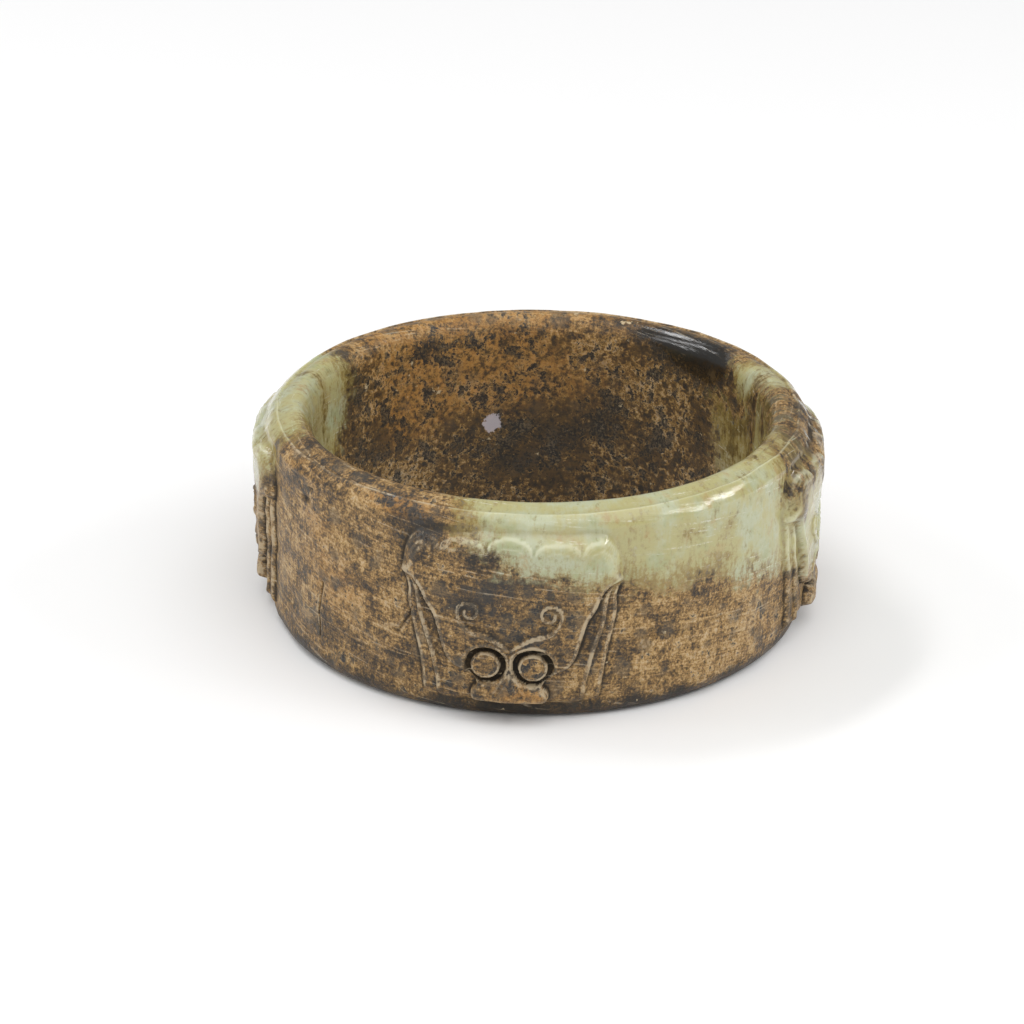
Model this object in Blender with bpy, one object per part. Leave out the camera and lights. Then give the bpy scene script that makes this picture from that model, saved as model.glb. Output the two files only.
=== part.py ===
"""Jade ring with four carved masks, one solid, for Blender 4.5.

A turned stone ring carries masks in low relief on its outer wall. The wall is set out flat, its width
round the ring by its height, and meshed along the carved lines. Each point is then raised by the relief
and rolled round the axis. Lengths are metres, +Z is up, and the origin is the middle of the underside.
"""

import math

import bmesh
import bpy
import numpy as np
from mathutils import Vector
from mathutils.geometry import delaunay_2d_cdt

# The turned ring
BORE_RADIUS = 0.0315
WALL_THICKNESS = 0.0065  # bore to outer wall, without the masks
RING_HEIGHT = 0.0303
WALL_TAPER = 0.0006  # the outer wall is this much narrower at its foot
BORE_WAIST = 0.00015  # the bore is this much narrower at half height
SHOULDER_WIDTH = 0.0014  # sloping shoulder, measured inwards
SHOULDER_DROP = 0.0022  # shoulder's edge below the top of the lip
BEAD_DROP = 0.0005  # raised line round the lip, below the top of the lip
BEAD_WIDTH = 0.0003
BEAD_HEIGHT = 0.0003
LIP_DEPTH = 0.0033  # how far the rounded lip reaches down into the bore
LIP_CREST = 0.53  # crest of the lip, as a share of the way from the bore to the bead
FOOT_ROUND = 0.0024  # rounding of the outer edge of the underside
BORE_FOOT_ROUND = 0.0006

# The masks
MASK_COUNT = 4
MASK_WIDTH = 0.0304
MASK_TOP_GAP = 0.0006  # mask to the edge of the shoulder
MASK_FOOT_LAP = 0.0009  # masks are drawn this far down over the rounded foot
MASK_FOOT_FADE = 0.0007  # and die away over this height above it
MASK_EDGE_GAP = 0.0002  # carved lines stay this far inside the stretch of wall
STRIP_RELIEF = 0.00065  # outer strips above the wall
CHANNEL_RELIEF = 0.00055  # inner strips above the outer ones
FACE_RELIEF = 0.00085  # face above the inner strips
CHANNEL_HOLLOW = 0.0003  # inner strips are hollowed by this much behind their edge
CARVED_SLOPE = 0.00035  # width of the slope between two levels
CROWN_SLOPE = 0.0015  # width of the rounded edge of the crown
CROWN_START = 0.70  # share of the mask's height where slopes begin to widen
CROWN_BLEND = 0.08  # and share over which they reach the crown's

# The eyes, drilled with a tube
EYE_RADIUS = 0.0019
EYE_DOME = 0.0001
EYE_GROOVE_WIDTH = 0.00075
EYE_GROOVE_DEPTH = 0.0010
EYE_GROOVE_SLOPE = 0.00012

# The ridges of the brows and the curling horns
BROW_GAP = 0.0006  # brow to the groove round the eye
BROW_RIDGE_WIDTH = 0.0007
BROW_RIDGE_HEIGHT = 0.00025
BROW_ENDS = (15, 155)  # degrees round the eye, from its outer side
NOSE_SHARE = 0.6  # the nose's half width, as a share of the brow's inner end
NOSE_DROP = 0.55  # how far the nose runs down, as a share of the brow's radius
HORN_RIDGE_WIDTH = 0.0009
HORN_RIDGE_HEIGHT = 0.00035
CURL_RADIUS = 0.0016
CURL_START = -25  # degrees, where the stem meets the curl
CURL_TURNS = 1.0
CURL_SHARE = 0.4  # the curl's radius at its end, as a share of that at its start

# Fineness of the mesh
COLUMN_WIDTH = 0.0030
EYE_SIDES = 16
CURVE_STEPS = 2
CURL_STEPS = 11
BROW_STEPS = 9
LIP_STEPS = 5
LIP_OUTER_STEPS = 3
KEEP_CLEAR = 0.0009  # plain mesh points stay this far from carved lines
LINE_PRECISION = 0.000001  # carved lines closer than this are one
MERGE_DISTANCE = 0.00001
SHARP_ANGLE = 40

WALL_RADIUS = BORE_RADIUS + WALL_THICKNESS
WALL_TOP = RING_HEIGHT - SHOULDER_DROP
MASK_FOOT = FOOT_ROUND - MASK_FOOT_LAP
MASK_HEIGHT = WALL_TOP - MASK_TOP_GAP - MASK_FOOT
SECTOR = math.tau / MASK_COUNT
SECTOR_WIDTH = SECTOR * WALL_RADIUS
SECTOR_COLUMNS = round(SECTOR_WIDTH / COLUMN_WIDTH)

# Right half of the mask's lines, as shares of half its width and of its height from its lower end
STRIP_SIDE = ((0.0, 0.005), (0.57, 0.005), (0.70, 0.0), (0.79, 0.04), (0.82, 0.14), (0.85, 0.27),
               (0.90, 0.42), (0.95, 0.55), (0.945, 0.64), (0.985, 0.715))
CHANNEL_SIDE = ((0.0, 0.025), (0.54, 0.025), (0.61, 0.03), (0.66, 0.09), (0.68, 0.18), (0.72, 0.28),
                (0.77, 0.39), (0.83, 0.50), (0.86, 0.63), (0.895, 0.69), (0.95, 0.72))
FACE_SIDE = ((0.0, 0.04), (0.24, 0.04), (0.32, 0.055), (0.355, 0.10), (0.335, 0.15), (0.315, 0.175),
             (0.36, 0.215), (0.40, 0.238), (0.49, 0.262), (0.565, 0.31), (0.615, 0.40), (0.67, 0.52),
             (0.74, 0.59), (0.79, 0.66), (0.84, 0.70), (0.91, 0.725))
HORN_STEM = ((0.01, 0.375), (0.085, 0.41), (0.205, 0.45), (0.33, 0.47), (0.41, 0.515))
HORN_CURL = (0.342, 0.577)
EYE_CENTRE = (0.211, 0.281)

# Crown lobes from the middle outwards: centre, half width, height of the cusps, height of the crest
CROWN_LOBES = ((0.0, 0.20, 0.930, 1.0), (0.40, 0.20, 0.925, 0.982))
OUTER_LOBE = (0.78, 0.18, 0.22, 0.925, 0.982, 0.73)  # centre, half widths, cusp, crest, outer foot
CUSP_ANGLE = 30  # a lobe's arc ends this many degrees short of standing upright


def on_wall(shares):
    """Mask shares turned into places on the flat wall: width from the mask's middle, height."""
    return np.asarray(shares) * (MASK_WIDTH / 2, MASK_HEIGHT) + (0, MASK_FOOT)


def curve_through(points, steps=CURVE_STEPS):
    """A smooth curve through the points: cubics whose slope at a point follows its two neighbours."""
    points = np.asarray(points, float)
    before = np.vstack([2 * points[0] - points[1], points[:-2]])
    after = np.vstack([points[2:], 2 * points[-1] - points[-2]])
    start, end = points[:-1], points[1:]
    pieces = []
    for step in range(steps):
        t = step / steps
        pieces.append(0.5 * (2 * start + (end - before) * t
                             + (2 * before - 5 * start + 4 * end - after) * t ** 2
                             + (3 * start - before - 3 * end + after) * t ** 3))
    return np.vstack([np.stack(pieces, axis=1).reshape(-1, 2), points[-1:]])


def part_ellipse(centre, foot, crest, half_width, first, last, steps):
    """Part of an ellipse standing on its foot height, from one angle to another, in shares."""
    angles = np.radians(np.linspace(first, last, steps))
    return np.stack([centre + half_width * np.cos(angles), foot + (crest - foot) * np.sin(angles)], axis=1)


def crown_edge():
    """Scalloped upper edge of the right half of the crown, from its outer foot to the middle, in shares."""
    centre, inner_half, outer_half, cusp, crest, outer_foot = OUTER_LOBE
    edge = [part_ellipse(centre, outer_foot, crest, outer_half, 0, 90, 5),
            part_ellipse(centre, cusp, crest, inner_half, 90 + CUSP_ANGLE, 180, 3)]
    for centre, half, cusp, crest in reversed(CROWN_LOBES):
        last = 180 if centre else 90
        edge.append(part_ellipse(centre, cusp, crest, half, CUSP_ANGLE, last, 5 if centre else 3))
    return np.vstack(edge)


def whole(right_half):
    """A closed outline from its right half, which runs from the lower middle to the upper middle."""
    left_half = right_half[-2:0:-1] * (-1, 1)
    return np.vstack([right_half, left_half])


def level_outline(side):
    """Outline of one carved level: its side line below, and the crown's edge above."""
    return whole(np.vstack([curve_through(on_wall(side)), on_wall(crown_edge())]))


STRIPS = level_outline(STRIP_SIDE)
CHANNELS = level_outline(CHANNEL_SIDE)
FACE = level_outline(FACE_SIDE)


def horn_line():
    """Right horn: a stem that rises from between the eyes and ends in a curl that winds inwards."""
    centre = on_wall(HORN_CURL)
    turn = np.radians(np.linspace(CURL_START, CURL_START + 360 * CURL_TURNS, CURL_STEPS))
    radius = np.linspace(CURL_RADIUS, CURL_SHARE * CURL_RADIUS, CURL_STEPS)
    curl = centre + radius[:, None] * np.stack([np.cos(turn), np.sin(turn)], axis=1)
    return np.vstack([curve_through(on_wall(HORN_STEM)), curl])


def brow_line():
    """Right brow: an arc over the eye that runs down beside the bridge of the nose."""
    angles = np.radians(np.linspace(*BROW_ENDS, BROW_STEPS))
    radius = EYE_RADIUS + EYE_GROOVE_WIDTH + BROW_GAP
    arc = np.stack([np.cos(angles), np.sin(angles)], axis=1) * radius + on_wall(EYE_CENTRE)
    nose = arc[-1] * (NOSE_SHARE, 1) - (0, NOSE_DROP * radius)
    return np.vstack([arc, nose])


RIDGES = ((horn_line(), HORN_RIDGE_WIDTH, HORN_RIDGE_HEIGHT),
          (brow_line(), BROW_RIDGE_WIDTH, BROW_RIDGE_HEIGHT))


def distance_to_line(points, line):
    """Distance from each point to the nearest stretch of a line of points."""
    start, along = line[:-1], np.diff(line, axis=0)
    offset = points[:, None] - start[None]
    share = (offset * along).sum(-1) / (along ** 2).sum(-1)
    nearest = np.clip(share, 0, 1)[..., None] * along
    return np.linalg.norm(offset - nearest, axis=-1).min(axis=1)


def depth_inside(points, outline):
    """Distance from each point to a closed outline, positive inside it and negative outside."""
    closed = np.vstack([outline, outline[:1]])
    (x0, y0), (x1, y1) = closed[:-1].T, closed[1:].T
    x, y = points[:, :1], points[:, 1:]
    crosses = (y0 > y) != (y1 > y)
    rise = np.where(y1 == y0, 1, y1 - y0)
    right_of_point = x < x0 + (y - y0) * (x1 - x0) / rise
    inside = (crosses & right_of_point).sum(axis=1) % 2 == 1
    return np.where(inside, 1, -1) * distance_to_line(points, closed)


def ramp(distance, width=CARVED_SLOPE):
    """0 up to the start of a slope, 1 from its end on."""
    return np.clip(distance / width, 0, 1)


def slope_width(points):
    """Width of the slopes at places on the wall: narrow beside the face, wide and rounded at the crown."""
    share = (points[:, 1] - MASK_FOOT) / MASK_HEIGHT
    return CARVED_SLOPE + (CROWN_SLOPE - CARVED_SLOPE) * ramp(share - CROWN_START, CROWN_BLEND)


def level(points, outline, rise):
    """Height that one level adds: it rises from its outline as a quarter of a sine wave."""
    return rise * np.sin(math.pi / 2 * ramp(depth_inside(points, outline), slope_width(points)))


def inset(outline, share):
    """The closed outline moved inwards by a share of the slope's width."""
    along = np.roll(outline, -1, axis=0) - np.roll(outline, 1, axis=0)
    along /= np.linalg.norm(along, axis=1, keepdims=True)
    distance = share * slope_width(outline)[:, None]
    return outline + distance * np.stack([-along[:, 1], along[:, 0]], axis=1)


def relief(points):
    """Height of the carving above the wall, at places on the flat wall measured from the mask's middle."""
    points = np.abs(points)
    channel, face = depth_inside(points, CHANNELS), depth_inside(points, FACE)
    height = level(points, STRIPS, STRIP_RELIEF)
    height += level(points, CHANNELS, CHANNEL_RELIEF) + level(points, FACE, FACE_RELIEF)
    height -= CHANNEL_HOLLOW * ramp(channel - CARVED_SLOPE, 2 * CARVED_SLOPE) * (1 - ramp(face))
    for line, width, crest in RIDGES:
        height += crest * (1 - ramp(distance_to_line(points, line), width / 2))
    across = np.linalg.norm(points - on_wall(EYE_CENTRE), axis=1)
    to_edge = np.minimum(across - EYE_RADIUS, EYE_RADIUS + EYE_GROOVE_WIDTH - across)
    height += EYE_DOME * np.clip(1 - (across / EYE_RADIUS) ** 2, 0, 1)
    height -= EYE_GROOVE_DEPTH * ramp(to_edge, EYE_GROOVE_SLOPE)
    height *= ramp(points[:, 1] - FOOT_ROUND, MASK_FOOT_FADE)
    return height * ramp(WALL_TOP - points[:, 1], MASK_EDGE_GAP)


def eye_loops():
    """Circles along the edges and the floor of the groove round the right eye."""
    edge = EYE_RADIUS + EYE_GROOVE_WIDTH
    angles = np.arange(EYE_SIDES) * math.tau / EYE_SIDES
    circle = np.stack([np.cos(angles), np.sin(angles)], axis=1)
    for radius in (EYE_RADIUS, EYE_RADIUS + EYE_GROOVE_SLOPE, edge - EYE_GROOVE_SLOPE, edge):
        yield circle * radius + on_wall(EYE_CENTRE)


def offset_line(line, distance):
    """The line moved sideways by a distance."""
    along = np.gradient(line, axis=0)
    along /= np.linalg.norm(along, axis=1, keepdims=True)
    return line + distance * np.stack([-along[:, 1], along[:, 0]], axis=1)


def carved_lines():
    """Every line of a mask that the mesh has to follow, each with whether it is closed."""
    for outline in (STRIPS, CHANNELS, FACE):
        yield outline, True
        yield inset(outline, 1), True
    yield inset(STRIPS, 0.5), True
    mirrored = [(loop, True) for loop in eye_loops()]
    for line, width, _ in RIDGES:
        for side in (-0.5, 0, 0.5):
            mirrored.append((offset_line(line, side * width), False))
    for line, closed in mirrored:
        yield line, closed
        yield line * (-1, 1), closed


def sector_border():
    """Outline of one mask's stretch of wall, with a point at every column and row."""
    left, right = -SECTOR_WIDTH / 2, SECTOR_WIDTH / 2
    widths = np.linspace(left, right, SECTOR_COLUMNS + 1)
    rows = np.linspace(FOOT_ROUND, WALL_TOP, 1 + round((WALL_TOP - FOOT_ROUND) / COLUMN_WIDTH))
    below = np.stack([widths, np.full_like(widths, FOOT_ROUND)], axis=1)
    above = np.stack([widths[::-1], np.full_like(widths, WALL_TOP)], axis=1)
    right_side = np.stack([np.full_like(rows, right), rows], axis=1)[1:-1]
    left_side = right_side[::-1] * (-1, 1)
    return np.vstack([below, right_side, above, left_side]), widths, rows


def wall_sector():
    """Points and triangles of one mask's stretch of wall, laid flat."""
    border, widths, rows = sector_border()
    lines = [(border, True)]
    corner = np.array([SECTOR_WIDTH / 2, WALL_TOP]) - MASK_EDGE_GAP
    for line, closed in carved_lines():
        lines.append((np.clip(line, (-corner[0], FOOT_ROUND + MASK_FOOT_FADE), corner), closed))
    plain = np.stack(np.meshgrid(widths[1:-1], rows[1:-1]), axis=-1).reshape(-1, 2)
    carved = np.vstack([line for line, _ in lines[1:]])
    nearest = np.linalg.norm(plain[:, None] - carved[None], axis=-1).min(axis=1)
    points = [plain[nearest > KEEP_CLEAR]]
    edges = []
    count = len(points[0])
    for line, closed in lines:
        ends = np.arange(count, count + len(line))
        pairs = np.stack([ends, np.roll(ends, -1)], axis=1)
        edges.extend((pairs if closed else pairs[:-1]).tolist())
        points.append(line)
        count += len(line)
    flat = [Vector(point) for point in np.vstack(points).tolist()]
    found, _, triangles, _, _, _ = delaunay_2d_cdt(flat, edges, [], 0, LINE_PRECISION)
    return np.array([point[:] for point in found]), np.array(triangles)


def ring_profile():
    """Turned profile as radius and height, from the wall's upper edge over the lip to the wall's foot."""
    bead = WALL_RADIUS - SHOULDER_WIDTH
    bead_top = RING_HEIGHT - BEAD_DROP
    lip_outer = bead - BEAD_WIDTH
    crest = BORE_RADIUS + LIP_CREST * (lip_outer - BORE_RADIUS)
    points = [(WALL_RADIUS, WALL_TOP), (bead, bead_top)]
    for step in range(LIP_OUTER_STEPS):
        share = 1 - step / LIP_OUTER_STEPS
        radius = crest + share * (lip_outer - crest)
        points.append((radius, RING_HEIGHT - (BEAD_DROP + BEAD_HEIGHT) * share ** 2))
    for step in range(LIP_STEPS + 1):
        angle = math.pi / 2 * step / LIP_STEPS
        points.append((crest - (crest - BORE_RADIUS) * math.sin(angle),
                       RING_HEIGHT - LIP_DEPTH * (1 - math.cos(angle))))
    points.append((BORE_RADIUS - BORE_WAIST, RING_HEIGHT / 2))
    points.append((BORE_RADIUS, BORE_FOOT_ROUND))
    points.append((BORE_RADIUS + BORE_FOOT_ROUND, 0))
    foot = WALL_RADIUS - WALL_TAPER
    for angle in (0, math.pi / 4):
        points.append((foot - FOOT_ROUND * (1 - math.sin(angle)), FOOT_ROUND * (1 - math.cos(angle))))
    points.append((foot, FOOT_ROUND))
    return points


def rolled(angle, radius, height):
    """A place on the ring: the angle is measured from -Y towards +X."""
    return (radius * math.sin(angle), -radius * math.cos(angle), height)


def ring_mesh():
    """The whole ring as one closed mesh."""
    form = bmesh.new()
    flat, triangles = wall_sector()
    taper = WALL_TAPER * (WALL_TOP - flat[:, 1]) / (WALL_TOP - FOOT_ROUND)
    radii = WALL_RADIUS - taper + relief(flat)
    for turn in range(MASK_COUNT):
        wall = [form.verts.new(rolled(turn * SECTOR + width / WALL_RADIUS, radius, height))
                for (width, height), radius in zip(flat.tolist(), radii.tolist())]
        for triangle in triangles.tolist():
            form.faces.new([wall[index] for index in triangle])
    columns = MASK_COUNT * SECTOR_COLUMNS
    angles = [(column - SECTOR_COLUMNS / 2) * math.tau / columns for column in range(columns)]
    rows = [[form.verts.new(rolled(angle, *place)) for angle in angles] for place in ring_profile()]
    for upper, lower in zip(rows, rows[1:]):
        for column in range(columns):
            after = (column + 1) % columns
            form.faces.new((upper[column], upper[after], lower[after], lower[column]))
    bmesh.ops.remove_doubles(form, verts=form.verts, dist=MERGE_DISTANCE)
    bmesh.ops.recalc_face_normals(form, faces=form.faces)
    bmesh.ops.triangulate(form, faces=form.faces)
    mesh = bpy.data.meshes.new("jade_ring")
    form.to_mesh(mesh)
    form.free()
    return mesh


def jade():
    """Brown, altered jade with a soft polish."""
    material = bpy.data.materials.new("jade")
    material.use_nodes = True
    shader = material.node_tree.nodes["Principled BSDF"]
    shader.inputs["Base Color"].default_value = (0.30, 0.22, 0.12, 1)
    shader.inputs["Roughness"].default_value = 0.35
    shader.inputs["Metallic"].default_value = 0.0
    return material


for thing in list(bpy.data.objects):
    bpy.data.objects.remove(thing)

ring = bpy.data.objects.new("jade_ring", ring_mesh())
ring.data.materials.append(jade())
ring.data.shade_smooth()
ring.data.set_sharp_from_angle(angle=math.radians(SHARP_ANGLE))
bpy.context.scene.collection.objects.link(ring)
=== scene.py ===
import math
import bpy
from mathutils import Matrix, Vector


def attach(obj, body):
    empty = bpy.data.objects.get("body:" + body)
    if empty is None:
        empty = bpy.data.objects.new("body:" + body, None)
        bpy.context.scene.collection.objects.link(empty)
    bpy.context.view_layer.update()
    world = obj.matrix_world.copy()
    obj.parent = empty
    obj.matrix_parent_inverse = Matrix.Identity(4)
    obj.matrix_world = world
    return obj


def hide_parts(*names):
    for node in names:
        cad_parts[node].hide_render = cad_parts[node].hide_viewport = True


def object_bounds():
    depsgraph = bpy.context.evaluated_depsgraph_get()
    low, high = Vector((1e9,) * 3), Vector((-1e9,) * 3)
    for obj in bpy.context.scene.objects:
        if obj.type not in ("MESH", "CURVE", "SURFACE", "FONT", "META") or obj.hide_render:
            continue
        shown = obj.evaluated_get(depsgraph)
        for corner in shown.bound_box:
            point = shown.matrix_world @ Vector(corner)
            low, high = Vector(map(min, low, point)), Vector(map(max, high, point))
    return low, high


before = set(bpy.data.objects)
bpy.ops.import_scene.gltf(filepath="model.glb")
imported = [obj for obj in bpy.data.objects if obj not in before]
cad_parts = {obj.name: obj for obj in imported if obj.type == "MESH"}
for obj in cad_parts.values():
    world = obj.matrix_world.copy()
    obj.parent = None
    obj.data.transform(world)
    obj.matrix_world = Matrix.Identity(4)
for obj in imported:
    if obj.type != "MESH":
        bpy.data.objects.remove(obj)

# Carved jade ring: one stone, brown with pale green patches, with four masks in low relief.
# Lengths are metres, +Z is up, and the mask that faces the viewer looks along -Y.

from types import SimpleNamespace

import bpy
import numpy as np
from bpy.props import FloatProperty, FloatVectorProperty, IntProperty, PointerProperty
from mathutils import Matrix, Vector

bl_info = {
    "name": "Carved Jade Ring",
    "version": (1, 0, 0),
    "blender": (4, 5, 0),
    "location": "3D View > Sidebar > Jade Ring",
    "description": "Adds a carved jade ring with four masks, and a stage to show it on",
    "category": "Add Mesh",
}

CAD_BOX = [list(corner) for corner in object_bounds()]
CAD_NODE = "jade_ring"
BODY = "root"
RING_HEIGHT = CAD_BOX[1][2]

# Right half of the mask's lines, as shares of half its width and of its height from its lower end
STRIP_SIDE = ((0.0, 0.005), (0.57, 0.005), (0.70, 0.0), (0.79, 0.04), (0.82, 0.14), (0.85, 0.27),
              (0.90, 0.42), (0.95, 0.55), (0.945, 0.64), (0.985, 0.715))
CHANNEL_SIDE = ((0.0, 0.025), (0.54, 0.025), (0.61, 0.03), (0.66, 0.09), (0.68, 0.18), (0.72, 0.28),
                (0.77, 0.39), (0.83, 0.50), (0.86, 0.63), (0.895, 0.69), (0.95, 0.72))
FACE_SIDE = ((0.0, 0.045), (0.24, 0.048), (0.315, 0.066), (0.348, 0.105), (0.330, 0.142), (0.292, 0.172),
             (0.33, 0.205), (0.40, 0.238), (0.49, 0.262), (0.565, 0.31), (0.615, 0.40), (0.67, 0.52),
             (0.74, 0.59), (0.79, 0.66), (0.84, 0.70), (0.91, 0.725))
MUZZLE_SIDE = ((0.0, 0.058), (0.237, 0.058), (0.31, 0.073), (0.336, 0.112), (0.305, 0.150), (0.237, 0.172),
               (0.150, 0.180), (0.086, 0.200), (0.040, 0.228), (0.0, 0.250))
HORN_STEM = ((0.01, 0.375), (0.085, 0.41), (0.205, 0.45), (0.33, 0.47), (0.41, 0.515))
HORN_CURL = (0.342, 0.577)
EYE_CENTRE = (0.203, 0.281)
EYE_CORNER = ((0.318, 0.352), (0.39, 0.357), (0.465, 0.360))
NOSTRIL = ((0.055, 0.178), (0.085, 0.150), (0.115, 0.120))

# Crown lobes from the middle outwards: centre, half width, height of the cusps, height of the crest
CROWN_LOBES = ((0.0, 0.20, 0.930, 1.0), (0.40, 0.20, 0.925, 0.982))
OUTER_LOBE = (0.78, 0.18, 0.22, 0.925, 0.982, 0.73)  # centre, half widths, cusp, crest, outer foot

# Places below are degrees round the ring as it is seen, from the front towards the right, and
# millimetres over the surface, from the underside up the wall, over the lip and down the bore
VIEW_TURN = 5.2  # how far the viewer stands from the front mask's middle

# Outlines of the two pale patches
PALE_FRONT = ((-19, 33), (-15.4, 27.3), (-9.6, 24.2), (-3.8, 22.7), (3.2, 21.9), (7.8, 20.4), (13.6, 20.0),
              (21.7, 18.6), (31, 18.1), (40.3, 17.3), (43.8, 15.4), (49.6, 15.8), (54.2, 14.2), (57.7, 13.5),
              (64.7, 12.3), (69.3, 11.2), (80, 9.5), (95, 8.5), (106, 10), (115, 18), (119, 26), (120, 33),
              (122, 39), (128, 42), (128, 50), (122, 55), (110, 54), (92, 48), (70, 44), (40, 46), (10, 46),
              (-12, 42), (-20, 36))
PALE_LEFT = ((-69, 31), (-72, 25), (-79, 20), (-86, 18), (-95, 18), (-108, 20), (-118, 25), (-122, 31),
             (-121, 38), (-118, 46), (-110, 50), (-100, 48), (-95, 42), (-84, 38), (-72, 35))

# Soft zones of the finish, and of the relief that is rubbed down: place, spread both ways, amount
DARKER = ((-20, 26.6, 5, 2.2, 0.25), (-26, 25.5, 6, 3.0, 0.30), (-32.4, 30.4, 3, 1.2, 0.45),
          (-29.4, 28.8, 3, 1.5, 0.30), (-39.3, 23.8, 3, 1.5, 0.22), (-24, 28.1, 2.5, 1.2, 0.35),
          (-11, 24.8, 5, 1.6, 0.35), (-6.7, 20.6, 4, 2.0, 0.20), (-13.3, 17.7, 6, 2.6, 0.34),
          (-1.4, 21.6, 4, 1.0, 0.22), (6, 19.6, 5, 1.2, 0.16), (17.6, 17.1, 3.5, 1.3, 0.30),
          (32.8, 14.9, 4, 1.0, 0.16), (40.6, 13.3, 4, 1.0, 0.16), (18, 10.5, 2.5, 1.5, 0.30),
          (11.5, 13, 1.6, 4.5, 0.25), (-24, 17, 3, 4, 0.24), (-49.9, 7.8, 5, 2.5, 0.18),
          (-19, 4.2, 5, 2.0, 0.25), (-66, 25.7, 6, 2.5, 0.25), (-4, 13, 16, 8, 0.22),
          (-33, 6, 8, 4, 0.14), (-62, 5, 14, 4, 0.12), (-45, 15, 13, 5, -0.05), (-46, 6, 14, 4, 0.14),
          (38, 6, 22, 6, -0.08), (-50, 21, 12, 3, -0.05), (-55, 33, 5, 2.0, 0.15), (-66, 33, 5, 3, 0.30),
          (-133, 50, 9, 3.2, 0.36), (-156, 53, 7, 2.0, 0.32), (-174, 57, 7, 2.5, 0.28),
          (177, 52, 13, 3.2, 0.20), (164, 50, 6, 2.5, 0.26), (174, 53.5, 6, 2.0, 0.26),
          (151, 50, 5, 1.8, 0.18), (148, 53, 5, 1.8, 0.20), (176, 58.5, 13, 2.8, 0.30),
          (132, 51, 4, 4, 0.30), (135, 36.3, 13, 3.0, 0.85), (129, 35.5, 5, 3.5, 0.35),
          (150, 34.5, 10, 1.6, 0.45), (176, 50, 24, 4, 0.10), (179, 36.3, 3, 0.9, 0.25),
          (-153, 46, 3, 1.5, 0.16), (132, 46, 4, 3.0, 0.20), (-120, 40, 4, 5, 0.25),
          (-145, 57, 6, 3, -0.10), (160, 48, 5, 3, 0.16), (147, 54.3, 7, 3, 0.16),
          (-172, 37, 8, 1.2, 0.25), (-123, 39, 5, 3, 0.20), (-52, 31.5, 6, 2.2, 0.26),
          (-38, 31.5, 5, 1.2, 0.20), (-148, 37.5, 3, 1.5, 0.35), (-119, 36, 3, 2, 0.30),
          (163, 33.5, 5, 1.0, 0.25), (-160, 44, 12, 4, -0.10))
WARMER = ((-45, 14, 15, 7, 0.55), (-30, 29.5, 12, 2, 0.8), (-150, 34, 22, 4, 1.0), (-160, 42, 25, 6, 0.8),
          (-2, 5, 7, 2.5, 0.6), (170, 33, 20, 3, 0.6), (-60, 29, 15, 2, 0.6), (180, 42, 50, 8, 0.5),
          (-145, 48, 14, 7, 0.5), (55, 6, 15, 5, 0.25), (-52, 23, 10, 3, 0.4))
BANDED = ((88, 31, 18, 8, 2.0), (-105, 36, 14, 6, 0.12), (112, 38, 12, 8, 1.2), (66, 26, 5, 5, 0.8),
          (114, 35.6, 6, 2.6, -1.7), (106, 32.4, 4, 1.8, -1.8))
STAINED = ((88, 33, 14, 5, 0.8), (84, 26, 11, 5, 1.2), (-92, 30, 14, 6, 0.35), (-104, 42, 12, 6, 0.35),
           (72, 29.5, 8, 1.6, 0.6), (66, 20.5, 2.6, 1.6, 1.3), (67, 25, 3, 4, 0.9),
           (32.5, 25.2, 2.2, 1.5, 0.95), (43, 24.5, 2.2, 1.6, 0.9), (1, 29.6, 2.2, 0.25, 1.3),
           (50, 31, 3.5, 1.2, 0.7), (57, 33, 3, 1.5, 0.8), (76, 14, 2.5, 5, 0.5), (-80, 24, 4, 4, 0.5),
           (108, 37, 2, 12, 0.8), (-107, 38, 1.8, 8, 0.8), (-14, 28, 5, 1.2, 0.7),
           (120, 52, 10, 12, 0.45), (120, 45, 9, 7, 0.6), (-118, 44, 6, 8, 0.25), (100, 44, 20, 6, 0.3))
CRUSTED = ((22.6, 17.5, 1.2, 0.7, 1.0), (18.5, 15.3, 0.9, 0.8, 1.0), (7.5, 21.4, 1.0, 0.5, 1.0),
           (10.5, 21.2, 1.6, 0.3, 1.0), (14, 20.4, 2.0, 0.3, 0.9), (-143.3, 40.6, 2.4, 1.3, 0.9),
           (-152.5, 45, 1.9, 1.1, 1.0), (-148, 38.7, 1.4, 0.8, 1.0), (-126, 41.8, 1.4, 0.9, 1.0),
           (-155, 52.3, 1.4, 0.8, 1.0), (-140.6, 53.1, 1.4, 0.7, 1.0), (158, 34, 4, 0.7, 1.0),
           (170, 32.6, 4, 0.6, 0.9), (150, 35.6, 5, 0.5, 0.9), (176, 33.6, 3, 0.4, 0.9),
           (-55, 31, 4, 0.5, 0.7))
RUBBED = ((-23.5, 27.6, 4.5, 1.9, 0.80), (-19, 23, 4, 3, 0.15))
BRUISED = ((192.7, 50.7, 2.9, 1.05, 1.0),)  # one whitish spot

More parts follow.
